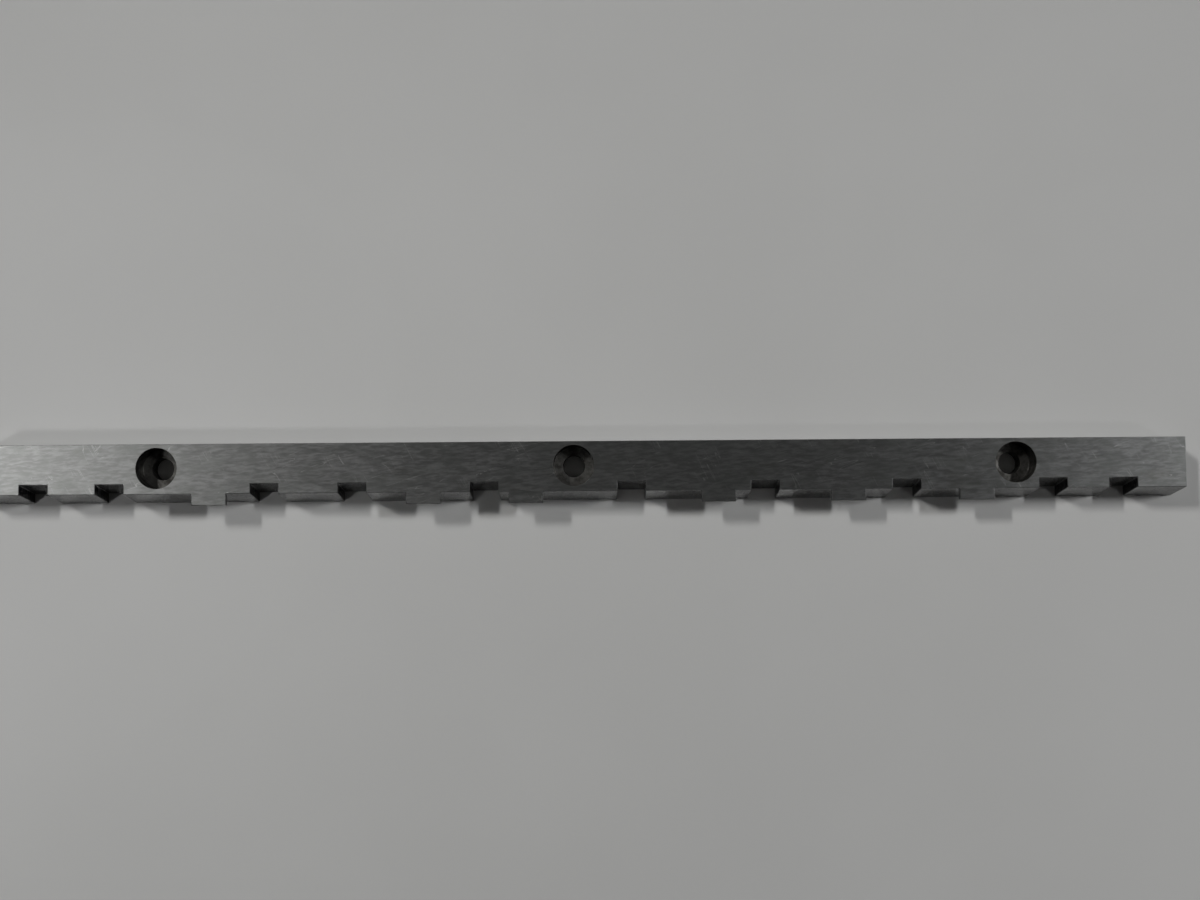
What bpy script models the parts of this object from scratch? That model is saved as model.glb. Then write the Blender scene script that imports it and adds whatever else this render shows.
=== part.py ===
"""Slotted steel rail: one bar, milled and ground, lying on its underside.

Units are metres and +Z is up.  X runs along the bar, the leaning front face with the slots
and the lips looks to -Y, and the upright back face looks to +Y.  The origin is on the
underside, at the centre of the whole part's length and depth.
"""
import math

import bmesh
import bpy

MM = 0.001

# The bar
LENGTH = 300.0 * MM
TOP_DEPTH = 12.4 * MM         # back face to front face, along the top
FRONT_LEAN = 1.9 * MM         # how far the foot of the front face stands out past its top
THICKNESS = 10.0 * MM
EDGE_BREAK = 0.3 * MM         # small chamfer on every edge that stands out

# Slots cut down through the front edge, placed from the bar's left end; their inner wall
# leans as the front face does
SLOT_CENTRES_MM = (15.6, 34.3, 72.5, 94.1, 126.7, 163.1, 196.1, 231.0, 267.1, 284.4)
SLOT_WIDTH = 7.0 * MM
SLOT_DEPTH = 2.5 * MM

# Thin lips that stand out of the front face, flush with the top
LIP_CENTRES_MM = (58.8, 111.7, 137.0, 184.6, 216.6, 248.3)
LIP_WIDTH = 8.5 * MM
LIP_REACH = 2.8 * MM          # past the front face's top edge
LIP_THICKNESS = 1.6 * MM

# Holes for M5 socket head screws, counterbored from the top
HOLE_CENTRES_MM = (45.8, 148.8, 258.0)
HOLE_FROM_BACK = 6.0 * MM
HOLE_DIAMETER = 5.5 * MM
COUNTERBORE_DIAMETER = 10.0 * MM
COUNTERBORE_DEPTH = 5.7 * MM
MOUTH_BREAK = 0.2 * MM        # chamfer round each mouth
CIRCLE_SIDES = 72
OVERRUN = 1.0 * MM            # how far the cutter runs past the bar

# Where the faces are
BACK_Y = (TOP_DEPTH + LIP_REACH) / 2
FRONT_TOP_Y = BACK_Y - TOP_DEPTH
LIP_TIP_Y = FRONT_TOP_Y - LIP_REACH
HOLE_Y = BACK_Y - HOLE_FROM_BACK
LIP_UNDERSIDE_Z = THICKNESS - LIP_THICKNESS
SEAT_Z = THICKNESS - COUNTERBORE_DEPTH
LEFT_X = -LENGTH / 2
RIGHT_X = LENGTH / 2

STEEL_COLOUR = (0.30, 0.31, 0.32, 1.0)
STEEL_ROUGHNESS = 0.38
SMOOTH_BELOW = math.radians(30)
WELD_DISTANCE = 0.001 * MM


def clear_scene():
    for item in list(bpy.data.objects):
        bpy.data.objects.remove(item, do_unlink=True)


def ground_steel():
    material = bpy.data.materials.new("ground_steel")
    material.use_nodes = True
    material.diffuse_color = STEEL_COLOUR
    shader = material.node_tree.nodes["Principled BSDF"]
    shader.inputs["Base Color"].default_value = STEEL_COLOUR
    shader.inputs["Metallic"].default_value = 1.0
    shader.inputs["Roughness"].default_value = STEEL_ROUGHNESS
    return material


def from_left_end(distance_mm):
    """X of a place given in millimetres from the bar's left end."""
    return LEFT_X + distance_mm * MM


def spans(centres_mm, width):
    """Left and right X of each slot or lip."""
    middles = [from_left_end(centre) for centre in centres_mm]
    return [(middle - width / 2, middle + width / 2) for middle in middles]


def front_y(z):
    return FRONT_TOP_Y - FRONT_LEAN * (1 - z / THICKNESS)


def slot_y(z):
    return front_y(z) + SLOT_DEPTH


def on_front(x, z):
    return (x, front_y(z), z)


def on_slot_root(x, z):
    return (x, slot_y(z), z)


def level_outline(z, slots, lips=()):
    """The bar's outline at one height, anticlockwise seen from above."""
    steps = [(*slot, slot_y(z)) for slot in slots] + [(*lip, LIP_TIP_Y) for lip in lips]
    corners = [(LEFT_X, BACK_Y, z), on_front(LEFT_X, z)]
    for left, right, far_y in sorted(steps):
        corners += [on_front(left, z), (left, far_y, z), (right, far_y, z), on_front(right, z)]
    return corners + [on_front(RIGHT_X, z), (RIGHT_X, BACK_Y, z)]


def add_face(bm, *points):
    bm.faces.new([bm.verts.new(point) for point in points])


def add_back_and_ends(bm):
    top = THICKNESS
    back_left = [(LEFT_X, BACK_Y, 0.0), (LEFT_X, BACK_Y, top)]
    back_right = [(RIGHT_X, BACK_Y, 0.0), (RIGHT_X, BACK_Y, top)]
    add_face(bm, back_right[0], back_left[0], back_left[1], back_right[1])
    add_face(bm, back_left[0], on_front(LEFT_X, 0.0), on_front(LEFT_X, top), back_left[1])
    add_face(bm, on_front(RIGHT_X, 0.0), back_right[0], back_right[1], on_front(RIGHT_X, top))


def add_slot_walls(bm, left, right):
    """The left wall, the inner wall and the right wall of a slot."""
    low, upper = (
        [on_front(left, z), on_slot_root(left, z), on_slot_root(right, z), on_front(right, z)]
        for z in (0.0, THICKNESS))
    for i in range(3):
        add_face(bm, low[i], low[i + 1], upper[i + 1], upper[i])


def add_lip_faces(bm, left, right):
    """The underside, both sides and the tip of a lip; its top belongs to the bar's top."""
    under, upper = (
        [on_front(left, z), (left, LIP_TIP_Y, z), (right, LIP_TIP_Y, z), on_front(right, z)]
        for z in (LIP_UNDERSIDE_Z, THICKNESS))
    add_face(bm, *reversed(under))
    for i in range(3):
        add_face(bm, under[i], under[i + 1], upper[i + 1], upper[i])


def add_front_stretch(bm, left, right, lips):
    """The front face between two slots, notched at the top where each lip grows out of it."""
    low, top = LIP_UNDERSIDE_Z, THICKNESS
    places = [(left, 0.0), (right, 0.0), (right, top)]
    for lip_left, lip_right in reversed(lips):
        places += [(lip_right, top), (lip_right, low), (lip_left, low), (lip_left, top)]
    places.append((left, top))
    add_face(bm, *[on_front(x, z) for x, z in places])


def add_outside(bm):
    """Every outer face of the bar, with its slots and lips and without its holes."""
    slots = spans(SLOT_CENTRES_MM, SLOT_WIDTH)
    lips = spans(LIP_CENTRES_MM, LIP_WIDTH)
    add_face(bm, *reversed(level_outline(0.0, slots)))
    add_face(bm, *level_outline(THICKNESS, slots, lips))
    add_back_and_ends(bm)
    for slot in slots:
        add_slot_walls(bm, *slot)
    for lip in lips:
        add_lip_faces(bm, *lip)
    starts = [LEFT_X] + [right for _, right in slots]
    ends = [left for left, _ in slots] + [RIGHT_X]
    for start, end in zip(starts, ends):
        add_front_stretch(bm, start, end, [lip for lip in lips if start < lip[0] < end])
    bmesh.ops.remove_doubles(bm, verts=bm.verts, dist=WELD_DISTANCE)
    bmesh.ops.recalc_face_normals(bm, faces=bm.faces)


def break_outer_edges(bm):
    """Chamfer the edges that stand out; inside corners stay square."""
    outer = [edge for edge in bm.edges if edge.is_convex and edge.calc_face_angle() > SMOOTH_BELOW]
    bmesh.ops.bevel(bm, geom=outer, offset=EDGE_BREAK, segments=1, affect="EDGES", clamp_overlap=True)


def new_object(name, bm, material=None):
    mesh = bpy.data.meshes.new(name)
    bm.to_mesh(mesh)
    bm.free()
    mesh.shade_smooth()
    mesh.set_sharp_from_angle(angle=SMOOTH_BELOW)
    if material:
        mesh.materials.append(material)
    item = bpy.data.objects.new(name, mesh)
    bpy.context.collection.objects.link(item)
    return item


def hole_profile():
    """Radius and height up one counterbored hole, from below the bar to above it."""
    hole = HOLE_DIAMETER / 2
    counterbore = COUNTERBORE_DIAMETER / 2
    return [
        (hole + MOUTH_BREAK, -OVERRUN),
        (hole + MOUTH_BREAK, 0.0),
        (hole, MOUTH_BREAK),
        (hole, SEAT_Z),
        (counterbore, SEAT_Z),
        (counterbore, THICKNESS - MOUTH_BREAK),
        (counterbore + MOUTH_BREAK, THICKNESS),
        (counterbore + MOUTH_BREAK, THICKNESS + OVERRUN),
    ]


def add_turned_solid(bm, x, y, profile):
    """A closed solid of revolution about an upright axis."""
    rings = []
    for radius, z in profile:
        angles = [2 * math.pi * side / CIRCLE_SIDES for side in range(CIRCLE_SIDES)]
        ring = [(x + radius * math.cos(a), y + radius * math.sin(a), z) for a in angles]
        rings.append([bm.verts.new(point) for point in ring])
    for lower, upper in zip(rings, rings[1:]):
        for side in range(CIRCLE_SIDES):
            after = (side + 1) % CIRCLE_SIDES
            bm.faces.new((lower[side], lower[after], upper[after], upper[side]))
    bm.faces.new(reversed(rings[0]))
    bm.faces.new(rings[-1])


def hole_cutter():
    bm = bmesh.new()
    for centre in HOLE_CENTRES_MM:
        add_turned_solid(bm, from_left_end(centre), HOLE_Y, hole_profile())
    cutter = new_object("hole_cutter", bm)
    cutter.hide_render = True
    cutter.display_type = "WIRE"
    return cutter


def slotted_rail():
    bm = bmesh.new()
    add_outside(bm)
    break_outer_edges(bm)
    rail = new_object("slotted_rail", bm, ground_steel())
    holes = rail.modifiers.new("counterbored_holes", "BOOLEAN")
    holes.operation = "DIFFERENCE"
    holes.solver = "EXACT"
    holes.object = hole_cutter()
    return rail


clear_scene()
slotted_rail()
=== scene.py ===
"""Looks of the slotted rail: the bar's fine mesh, its steel, and the table it lies on.

Everything is in metres in the CAD frame: X along the bar, the slots and lips toward -Y,
the counterbored top toward +Z, and the table at Z = 0.
"""
import math

import bmesh
import bpy
from mathutils import Euler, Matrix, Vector


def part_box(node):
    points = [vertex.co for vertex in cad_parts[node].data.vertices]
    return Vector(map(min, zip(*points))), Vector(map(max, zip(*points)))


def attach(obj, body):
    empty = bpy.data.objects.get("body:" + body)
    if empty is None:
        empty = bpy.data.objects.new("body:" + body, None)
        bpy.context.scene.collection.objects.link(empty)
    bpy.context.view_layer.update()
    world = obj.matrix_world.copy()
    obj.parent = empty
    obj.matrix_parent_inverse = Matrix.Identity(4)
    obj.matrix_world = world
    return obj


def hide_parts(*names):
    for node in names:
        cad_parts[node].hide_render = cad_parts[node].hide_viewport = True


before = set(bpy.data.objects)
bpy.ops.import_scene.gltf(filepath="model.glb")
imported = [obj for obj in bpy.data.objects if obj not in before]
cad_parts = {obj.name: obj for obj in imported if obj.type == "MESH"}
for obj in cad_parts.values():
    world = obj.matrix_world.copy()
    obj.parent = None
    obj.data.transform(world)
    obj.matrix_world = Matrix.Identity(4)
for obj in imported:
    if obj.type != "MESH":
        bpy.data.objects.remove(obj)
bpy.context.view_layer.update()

MM = 0.001
NODE = "slotted_rail"
BODY = "root"

# The bar's faces, from the CAD model's box
LEFT_X, LIP_TIP_Y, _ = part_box(NODE)[0]
RIGHT_X, BACK_Y, TOP_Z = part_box(NODE)[1]
TOP_DEPTH = 12.4 * MM
FRONT_TOP_Y = BACK_Y - TOP_DEPTH
FRONT_LEAN = 1.9 * MM

# Slots and lips, placed from the bar's left end
SLOT_CENTRES_MM = (15.6, 34.3, 72.5, 94.1, 126.7, 163.1, 196.1, 231.0, 267.1, 284.4)
SLOT_WIDTH = 7.0 * MM
SLOT_DEPTH = 2.5 * MM
LIP_CENTRES_MM = (58.8, 111.7, 137.0, 184.6, 216.6, 248.3)
LIP_WIDTH = 8.5 * MM
LIP_UNDERSIDE_Z = TOP_Z - 1.6 * MM
EDGE_RADIUS = 0.15 * MM
EDGE_STEPS = 4
ROUNDED_ABOVE = math.radians(30)
WELD_DISTANCE = 0.001 * MM

# Counterbored holes, also placed from the left end
HOLE_CENTRES_MM = (45.8, 148.8, 258.0)
HOLE_Y = BACK_Y - 6.0 * MM
HOLE_RADIUS = 2.75 * MM
COUNTERBORE_RADIUS = 5.0 * MM
SEAT_Z = TOP_Z - 5.7 * MM
MOUTH_RADIUS = 0.1 * MM
FLOOR_RADIUS = 0.1 * MM
CIRCLE_SIDES = 144
OVERRUN = 1.0 * MM

# Material indices on the bar
GROUND, MILLED, SLOTTED, BORED, EDGE = range(5)


def from_left_end(distance_mm):
    return LEFT_X + distance_mm * MM


def spans(centres_mm, width):
    middles = [from_left_end(centre) for centre in centres_mm]
    return [(middle - width / 2, middle + width / 2) for middle in middles]


def front_y(z):
    return FRONT_TOP_Y - FRONT_LEAN * (1 - z / TOP_Z)


def on_front(x, z):
    return (x, front_y(z), z)


def on_slot_root(x, z):
    return (x, front_y(z) + SLOT_DEPTH, z)


# ---- The bar's mesh ----

def add_face(bm, *points, material=GROUND):
    face = bm.faces.new([bm.verts.new(point) for point in points])
    face.material_index = material


def level_outline(z, slots, lips=()):
    """The bar's outline at one height, anticlockwise seen from above."""
    steps = [(*slot, front_y(z) + SLOT_DEPTH) for slot in slots]
    steps += [(*lip, LIP_TIP_Y) for lip in lips]
    corners = [(LEFT_X, BACK_Y, z), on_front(LEFT_X, z)]
    for left, right, far_y in sorted(steps):
        corners += [on_front(left, z), (left, far_y, z), (right, far_y, z), on_front(right, z)]
    return corners + [on_front(RIGHT_X, z), (RIGHT_X, BACK_Y, z)]


def add_back_and_ends(bm):
    back_left = [(LEFT_X, BACK_Y, 0.0), (LEFT_X, BACK_Y, TOP_Z)]
    back_right = [(RIGHT_X, BACK_Y, 0.0), (RIGHT_X, BACK_Y, TOP_Z)]
    add_face(bm, back_right[0], back_left[0], back_left[1], back_right[1])
    add_face(bm, back_left[0], on_front(LEFT_X, 0.0), on_front(LEFT_X, TOP_Z), back_left[1])
    add_face(bm, on_front(RIGHT_X, 0.0), back_right[0], back_right[1], on_front(RIGHT_X, TOP_Z))


def add_slot_walls(bm, left, right):
    """The left wall, the inner wall and the right wall of a slot."""
    low, upper = (
        [on_front(left, z), on_slot_root(left, z), on_slot_root(right, z), on_front(right, z)]
        for z in (0.0, TOP_Z))
    for i in range(3):
        add_face(bm, low[i], low[i + 1], upper[i + 1], upper[i], material=SLOTTED)


def add_lip_faces(bm, left, right):
    """The underside, both sides and the tip of a lip; its top belongs to the bar's top."""
    under, upper = (
        [on_front(left, z), (left, LIP_TIP_Y, z), (right, LIP_TIP_Y, z), on_front(right, z)]
        for z in (LIP_UNDERSIDE_Z, TOP_Z))
    add_face(bm, *reversed(under), material=MILLED)
    for i in range(3):
        add_face(bm, under[i], under[i + 1], upper[i + 1], upper[i], material=MILLED)


def add_front_stretch(bm, left, right, lips):
    """The front face between two slots, notched at the top where each lip grows out of it."""
    places = [(left, 0.0), (right, 0.0), (right, TOP_Z)]
    for lip_left, lip_right in reversed(lips):
        places += [(lip_right, TOP_Z), (lip_right, LIP_UNDERSIDE_Z),
                   (lip_left, LIP_UNDERSIDE_Z), (lip_left, TOP_Z)]
    places.append((left, TOP_Z))
    add_face(bm, *[on_front(x, z) for x, z in places], material=MILLED)


def add_outside(bm):
    """Every outer face of the bar, before its edges are rounded and its holes are cut."""
    slots = spans(SLOT_CENTRES_MM, SLOT_WIDTH)
    lips = spans(LIP_CENTRES_MM, LIP_WIDTH)
    add_face(bm, *reversed(level_outline(0.0, slots)))
    add_face(bm, *level_outline(TOP_Z, slots, lips))
    add_back_and_ends(bm)
    for slot in slots:
        add_slot_walls(bm, *slot)
    for lip in lips:
        add_lip_faces(bm, *lip)
    starts = [LEFT_X] + [right for _, right in slots]
    ends = [left for left, _ in slots] + [RIGHT_X]
    for start, end in zip(starts, ends):
        add_front_stretch(bm, start, end, [lip for lip in lips if start < lip[0] < end])
    bmesh.ops.remove_doubles(bm, verts=bm.verts, dist=WELD_DISTANCE)
    bmesh.ops.recalc_face_normals(bm, faces=bm.faces)


def round_edges(bm):
    """Round the outer edges, and the inside corners that a cutter leaves."""
    sharp = [edge for edge in bm.edges if edge.calc_face_angle() > ROUNDED_ABOVE]
    rounded = bmesh.ops.bevel(bm, geom=sharp, offset=EDGE_RADIUS, segments=EDGE_STEPS,
                              profile=0.5, affect="EDGES", clamp_overlap=True)
    for face in rounded["faces"]:
        face.material_index = EDGE


def arc(centre_r, centre_z, radius, start_deg, end_deg, steps=EDGE_STEPS):
    """Radius and height of points round part of a circle in a hole's profile."""
    angles = [math.radians(start_deg + (end_deg - start_deg) * i / steps) for i in range(steps + 1)]
    return [(centre_r + radius * math.cos(a), centre_z + radius * math.sin(a)) for a in angles]


def hole_profile():
    """Radius and height up one counterbored hole, from below the bar to above it."""
    flare = MOUTH_RADIUS
    profile = [(HOLE_RADIUS + flare, -OVERRUN)]
    profile += arc(HOLE_RADIUS + flare, flare, flare, 270, 180)
    profile += arc(HOLE_RADIUS + flare / 2, SEAT_Z - flare / 2, flare / 2, 180, 90)
    profile += arc(COUNTERBORE_RADIUS - FLOOR_RADIUS, SEAT_Z + FLOOR_RADIUS, FLOOR_RADIUS, 270, 360)
    profile += arc(COUNTERBORE_RADIUS + flare, TOP_Z - flare, flare, 180, 90)
    profile += [(COUNTERBORE_RADIUS + flare, TOP_Z + OVERRUN)]
    return profile


def add_turned_solid(bm, x, y, profile):
    """A closed solid of revolution about an upright axis."""
    rings = []
    for radius, z in profile:
        angles = [2 * math.pi * side / CIRCLE_SIDES for side in range(CIRCLE_SIDES)]
        ring = [(x + radius * math.cos(a), y + radius * math.sin(a), z) for a in angles]
        rings.append([bm.verts.new(point) for point in ring])
    for lower, upper in zip(rings, rings[1:]):
        for side in range(CIRCLE_SIDES):
            after = (side + 1) % CIRCLE_SIDES
            bm.faces.new((lower[side], lower[after], upper[after], upper[side]))
    bm.faces.new(reversed(rings[0]))
    bm.faces.new(rings[-1])
    for face in bm.faces:
        face.material_index = BORED


def mesh_object(name, bm, materials=()):
    mesh = bpy.data.meshes.new(name)
    bm.to_mesh(mesh)
    bm.free()
    for material in materials:
        mesh.materials.append(material)
    item = bpy.data.objects.new(name, mesh)
    bpy.context.collection.objects.link(item)
    return item


def hole_cutter(materials):
    bm = bmesh.new()
    for centre in HOLE_CENTRES_MM:
        add_turned_solid(bm, from_left_end(centre), HOLE_Y, hole_profile())
    return mesh_object("hole_cutter", bm, materials)


def keep_evaluated_mesh(item):
    """Make the object's mesh what its modifiers show, and drop the modifiers."""
    evaluated = item.evaluated_get(bpy.context.evaluated_depsgraph_get())
    mesh = bpy.data.meshes.new_from_object(evaluated)
    item.modifiers.clear()
    item.data = mesh


def cut_holes(rail, cutter):
    holes = rail.modifiers.new("holes", "BOOLEAN")
    holes.operation = "DIFFERENCE"
    holes.solver = "EXACT"
    holes.object = cutter
    keep_evaluated_mesh(rail)
    bpy.data.objects.remove(cutter)


def shade(rail):
    """Flat faces stay flat right up to the rounded edges between them."""
    rail.data.shade_smooth()
    normals = rail.modifiers.new("normals", "WEIGHTED_NORMAL")
    normals.weight = 100
    normals.keep_sharp = True
    keep_evaluated_mesh(rail)


def rail_piece():
    materials = [
        ground_steel(),
        milled_steel("milled_steel", *MILLED_GREYS_PAINTED_SHADE),
        # slot walls, their greys darkened as painted shade
        milled_steel("painted_shade_slot_steel", *SLOT_GREYS_PAINTED_SHADE),
        # counterbores and holes, darkened as painted shade
        painted_shade_bore_steel(),
        worn_edge(),
    ]
    bm = bmesh.new()
    add_outside(bm)
    round_edges(bm)
    rail = mesh_object("rail", bm, materials)
    cut_holes(rail, hole_cutter(materials))
    shade(rail)
    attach(rail, BODY)
    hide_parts(NODE)
    return rail


# ---- Materials ----

class Shading:
    """Adds and joins the nodes of one material."""

    def __init__(self, name, colour, metallic, roughness, anisotropic=0.0):
        self.material = bpy.data.materials.new(name)
        self.material.use_nodes = True
        self.tree = self.material.node_tree
        self.shader = self.tree.nodes["Principled BSDF"]
        self.shader.inputs["Base Color"].default_value = (*colour, 1.0)
        self.shader.inputs["Metallic"].default_value = metallic
        self.shader.inputs["Roughness"].default_value = roughness
        self.shader.inputs["Anisotropic"].default_value = anisotropic
        self.place = self.add("ShaderNodeTexCoord").outputs["Object"]

    def add(self, kind, inputs=(), **settings):
        node = self.tree.nodes.new(kind)
        for key, value in settings.items():
            setattr(node, key, value)
        for key, value in dict(inputs).items():
            self.put(value, node.inputs[key])
        return node

    def put(self, value, socket):
        if isinstance(value, bpy.types.NodeSocket):
            self.tree.links.new(value, socket)
        else:
            socket.default_value = value

    def noise(self, size_mm, turn_deg=0.0, detail=2.0, roughness=0.5, distortion=0.0, shift=0.0):
        """Noise between about 0.3 and 0.7 whose blobs measure size_mm along X, Y and Z."""
        scale = [1 / (size * MM) for size in size_mm]
        turned = self.add("ShaderNodeVectorRotate", {"Vector": self.place, "Angle": math.radians(turn_deg)},
                          rotation_type="Z_AXIS").outputs[0] if turn_deg else self.place
        scaled = self.add("ShaderNodeVectorMath", {0: turned, 1: scale}, operation="MULTIPLY").outputs[0]
        moved = self.add("ShaderNodeVectorMath", {0: scaled, 1: (shift, shift, shift)}).outputs[0]
        return self.add("ShaderNodeTexNoise", {
            "Vector": moved, "Scale": 1.0, "Detail": detail, "Roughness": roughness,
            "Distortion": distortion}).outputs["Fac"]

    def ramp(self, value, start, end, low=0.0, high=1.0):
        """Maps start..end to low..high, smoothly and without running past either."""
        return self.add("ShaderNodeMapRange", {
            "Value": value, "From Min": start, "From Max": end, "To Min": low, "To Max": high},
            interpolation_type="SMOOTHSTEP").outputs[0]

    def maths(self, operation, first, second=0.0):
        return self.add("ShaderNodeMath", {0: first, 1: second}, operation=operation).outputs[0]

    def blend(self, share, low, high):
        mixed = self.add("ShaderNodeMix", data_type="RGBA")
        self.put(share, mixed.inputs[0])
        self.put((*low, 1.0) if isinstance(low, tuple) else low, mixed.inputs[6])
        self.put((*high, 1.0) if isinstance(high, tuple) else high, mixed.inputs[7])
        return mixed.outputs[2]

    def hairlines(self, turn_deg, width, patchiness, shift):
        """A few long thin lines: the places where a stretched noise crosses its middle value."""
        run = self.noise((26, 2.2, 2.2), turn_deg, detail=1.0, shift=shift)
        away = self.maths("ABSOLUTE", self.maths("SUBTRACT", run, 0.5))
        line = self.ramp(away, 0.0, width, 1.0, 0.0)
        where = self.ramp(self.noise((9, 5, 5), shift=shift + 7), patchiness, patchiness + 0.06)
        return self.maths("MULTIPLY", line, where)

    def bump(self, height, distance_mm, below=None):
        inputs = {"Height": height, "Distance": distance_mm * MM, "Strength": 1.0}
        if below is not None:
            inputs["Normal"] = below
        return self.add("ShaderNodeBump", inputs).outputs[0]

    def along(self, direction):
        """Stretch reflections across a grain that runs along direction."""
        normal = self.add("ShaderNodeNewGeometry").outputs["Normal"]
        across = self.add("ShaderNodeVectorMath", {0: normal, 1: direction}, operation="CROSS_PRODUCT")
        self.put(across.outputs[0], self.shader.inputs["Tangent"])

    def finish(self, colour=None, roughness=None, normal=None):
        for socket, value in (("Base Color", colour), ("Roughness", roughness), ("Normal", normal)):
            if value is not None:
                self.put(value, self.shader.inputs[socket])
        return self.material


STEEL = (0.29, 0.295, 0.295)
# Front face and lips: painted shade. Greys darker than the ground top stand in for the shade the front lies
# in
MILLED_GREYS_PAINTED_SHADE = (0.14, 0.24)  # darkest and lightest grey
# Slot walls: painted shade. Greys darker than the front's stand in for the shade inside the slots
SLOT_GREYS_PAINTED_SHADE = (0.06, 0.12)
GRAIN_DIRECTION = (1.0, 0.12, 0.08)


def ground_steel():
    """Surface-ground bar: fine grain along X, smears, hairline scratches and faint stains."""
    s = Shading("ground_steel", STEEL, 1.0, 0.41, anisotropic=0.70)
    s.along(GRAIN_DIRECTION)
    fine = s.noise((5, 0.16, 0.16), detail=2.0)
    streaks = s.noise((6, 0.8, 0.8), turn_deg=3, detail=3.0, roughness=0.6)
    smears = s.noise((2.6, 0.6, 0.6), turn_deg=-4, detail=4.0, roughness=0.6, distortion=0.25)
    clouds = s.noise((7, 5, 5), detail=3.0, roughness=0.6, shift=31.0)
    stains = s.noise((17, 9, 9), detail=4.0, roughness=0.65, shift=3.0)
    scratches = s.maths("MAXIMUM", s.hairlines(62, 0.006, 0.54, 11.0), s.hairlines(-17, 0.005, 0.53, 23.0))
    colour = s.blend(s.ramp(smears, 0.36, 0.66), (0.25, 0.253, 0.25), (0.335, 0.339, 0.338))
    colour = s.blend(s.ramp(clouds, 0.4, 0.68, 0.0, 0.5), colour, (0.24, 0.25, 0.24))
    colour = s.blend(s.ramp(stains, 0.56, 0.72, 0.0, 0.35), colour, (0.2, 0.195, 0.175))
    colour = s.blend(s.maths("MULTIPLY", scratches, 0.6), colour, (0.6, 0.6, 0.6))
    rough = s.maths("ADD", s.ramp(streaks, 0.3, 0.7, 0.38, 0.44), s.ramp(smears, 0.35, 0.7, -0.01, 0.03))
    normal = s.bump(fine, 0.002)
    normal = s.bump(streaks, 0.002, normal)
    normal = s.bump(s.maths("SUBTRACT", 1.0, scratches), 0.004, normal)
    return s.finish(colour, rough, normal)


def milled_steel(name, dark, light):
    """Cut faces, smoother, with faint cutter marks: the front and the lips, or the slot walls; their dark
    greys are painted shade, darkest in the slots.
    """
    s = Shading(name, (light, light, light), 1.0, 0.28)
    marks = s.noise((0.5, 3.0, 0.35), detail=2.0)
    blotches = s.noise((5, 3, 3), detail=4.0, roughness=0.6, shift=5.0)
    # Blotches of random tone between the painted-shade greys
    colour = s.blend(s.ramp(blotches, 0.35, 0.68), (dark, dark, dark), (light, light, light))
    rough = s.ramp(marks, 0.3, 0.7, 0.25, 0.33)
    return s.finish(colour, rough, s.bump(marks, 0.004))


def painted_shade_bore_steel():
    """Counterbores and holes: turned rings, dull and blotchy, painted far darker than the bar's steel as
    shade inside the holes.
    """
    s = Shading("painted_shade_bore_steel", (0.25, 0.25, 0.25), 1.0, 0.5)
    blotches = s.noise((2.2, 2.2, 2.2), detail=4.0, roughness=0.65, shift=9.0)
    marks = s.noise((1.5, 1.5, 0.12), detail=2.0)
    # Painted shade: greys far darker than the bar's steel stand in for the shade inside the holes
    colour = s.blend(s.ramp(blotches, 0.38, 0.66), (0.11, 0.108, 0.102), (0.045, 0.043, 0.04))
    rough = s.ramp(blotches, 0.35, 0.65, 0.42, 0.58)
    return s.finish(colour, rough, s.bump(marks, 0.01))


def worn_edge():
    """Rounded edges, rubbed brighter than the faces between them."""
    s = Shading("worn_edge", (0.25, 0.25, 0.25), 1.0, 0.35)
    wear = s.noise((2.5, 2.5, 2.5), detail=4.0, roughness=0.65, shift=14.0)
    colour = s.blend(s.ramp(wear, 0.38, 0.66), (0.17, 0.17, 0.17), (0.32, 0.32, 0.32))
    rough = s.ramp(wear, 0.35, 0.65, 0.45, 0.3)
    return s.finish(colour, rough, s.bump(wear, 0.02))


def pale_paper():
    s = Shading("pale_paper", (0.62, 0.618, 0.61), 0.0, 0.95)
    fibres = s.noise((0.9, 0.9, 0.9), detail=5.0, roughness=0.7)
    clouds = s.noise((60, 60, 60), detail=2.0, shift=2.0)
    colour = s.blend(s.ramp(clouds, 0.3, 0.7), (0.617, 0.615, 0.609), (0.633, 0.631, 0.625))
    return s.finish(colour, None, s.bump(fibres, 0.02))


# ---- Table, light and camera ----

FLOOR_HALF = 4.0

# Camera over the bar, tipped a little so that the front face shows
CAMERA_PLACE = Vector((4.99, -13.72, 347.85)) * MM
CAMERA_TURN_DEG = (3.227, -0.036, -0.438)
CAMERA_LENS_MM = 41.13
CAMERA_SENSOR_MM = 36.0
CAMERA_NEAR = 0.01

# Level panels facing down: name, place, width and depth, power in watts, colour
PANELS = (
    ("lamp_left", (-2.07, 1.62, 3.0), (0.2, 0.65), 65.0, (1.0, 0.997, 0.98)),
    ("lamp_right", (2.49, 0.96, 3.0), (0.2, 0.65), 67.0, (0.99, 1.0, 1.0)),
    ("ceiling", (0.0, 0.0, 3.5), (2.0, 2.0), 1.2, (1.0, 1.0, 0.99)),
)

# Weak soft spots from the front, one for each end of the bar: name, place, aim, cone, power
SPOTS = (
    ("spot_left", (-1.04, -0.49, 1.1), (-0.16, 0.0, 0.0), math.radians(13.0), 14.5),
    ("spot_right", (1.04, -0.49, 1.1), (0.18, 0.0, 0.0), math.radians(12.0), 5.5),
)
SPOT_SOFTNESS = 0.09          # radius of each spot's lens

# The room around the table
WALL_COLOUR = (1.0, 0.997, 0.985, 1.0)
WALL_TOP = 0.25               # sine of the angle at which the walls' glow ends
WALL_GLOW = 0.33
CEILING_GLOW = 0.001


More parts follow.
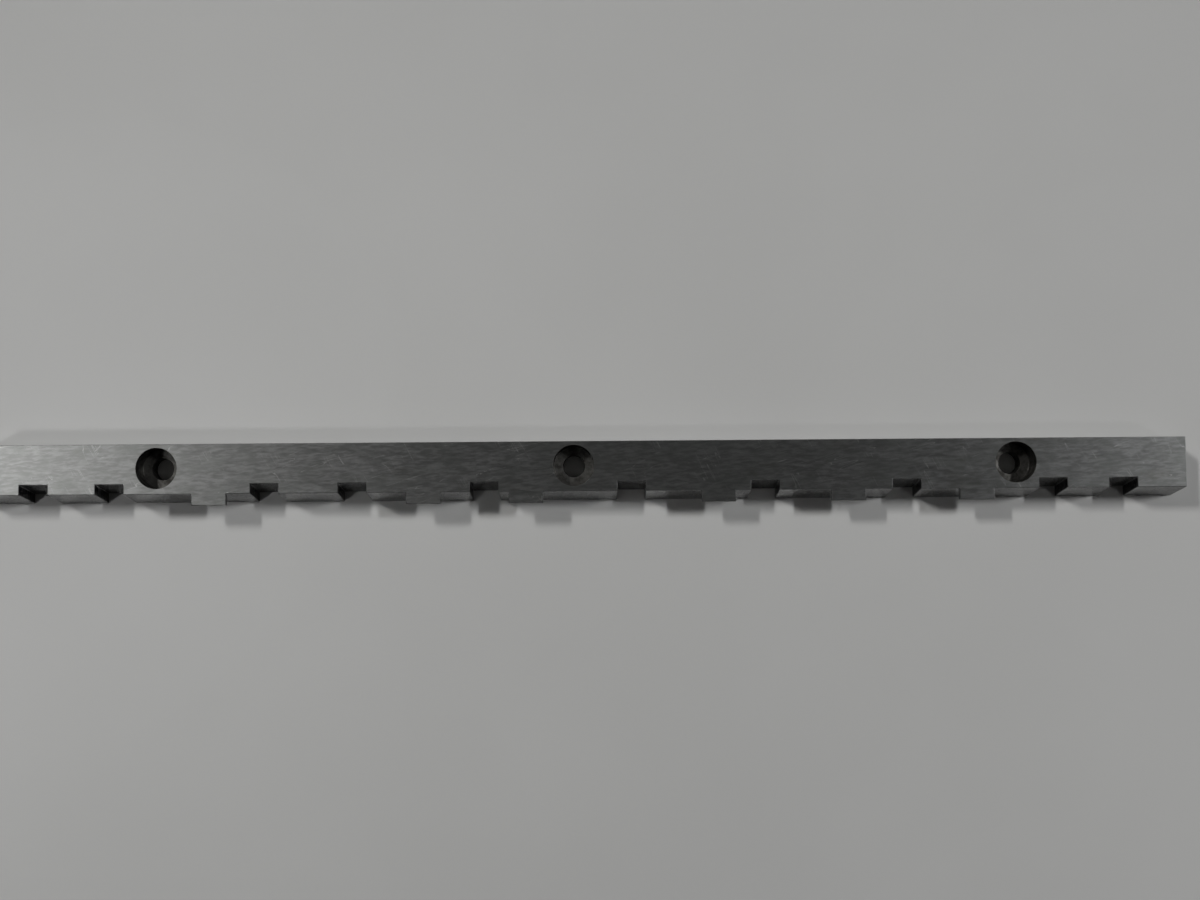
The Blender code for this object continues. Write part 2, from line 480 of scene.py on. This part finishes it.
def table():
    bm = bmesh.new()
    bmesh.ops.create_grid(bm, x_segments=1, y_segments=1, size=FLOOR_HALF)
    floor = mesh_object("table", bm, [pale_paper()])


def new_lamp(name, kind, place, power):
    data = bpy.data.lights.new(name, kind)
    data.energy = power
    item = bpy.data.objects.new(name, data)
    bpy.context.collection.objects.link(item)
    item.location = place
    return item


def panel(name, place, sides, power, colour):
    data = new_lamp(name, "AREA", place, power).data
    data.shape = "RECTANGLE"
    data.size, data.size_y = sides
    data.color = colour


def spot(name, place, aim, cone, power):
    item = new_lamp(name, "SPOT", place, power)
    item.rotation_euler = (Vector(aim) - Vector(place)).to_track_quat("-Z", "Y").to_euler()
    item.data.spot_size = cone
    item.data.spot_blend = 1.0
    item.data.shadow_soft_size = SPOT_SOFTNESS


def surroundings():
    """A dim room whose walls are pale at eye level and fade into a dark ceiling."""
    world = bpy.data.worlds.new("room")
    bpy.context.scene.world = world
    world.use_nodes = True
    nodes, links = world.node_tree.nodes, world.node_tree.links
    nodes["Background"].inputs["Color"].default_value = WALL_COLOUR
    way = nodes.new("ShaderNodeTexCoord")
    parts = nodes.new("ShaderNodeSeparateXYZ")
    fade = nodes.new("ShaderNodeMapRange")
    limits = {"From Min": 0.0, "From Max": WALL_TOP, "To Min": WALL_GLOW, "To Max": CEILING_GLOW}
    for socket, value in limits.items():
        fade.inputs[socket].default_value = value
    links.new(way.outputs["Generated"], parts.inputs[0])
    links.new(parts.outputs["Z"], fade.inputs["Value"])
    links.new(fade.outputs[0], nodes["Background"].inputs["Strength"])


def camera():
    data = bpy.data.cameras.new("camera")
    data.sensor_width = CAMERA_SENSOR_MM
    data.lens = CAMERA_LENS_MM
    data.clip_start = CAMERA_NEAR
    item = bpy.data.objects.new("camera", data)
    bpy.context.collection.objects.link(item)
    item.location = CAMERA_PLACE
    item.rotation_euler = Euler([math.radians(turn) for turn in CAMERA_TURN_DEG], "XYZ")
    bpy.context.scene.camera = item


camera()
rail_piece()
table()
for settings in PANELS:
    panel(*settings)
for settings in SPOTS:
    spot(*settings)
surroundings()
bpy.context.scene.view_settings.view_transform = "Standard"
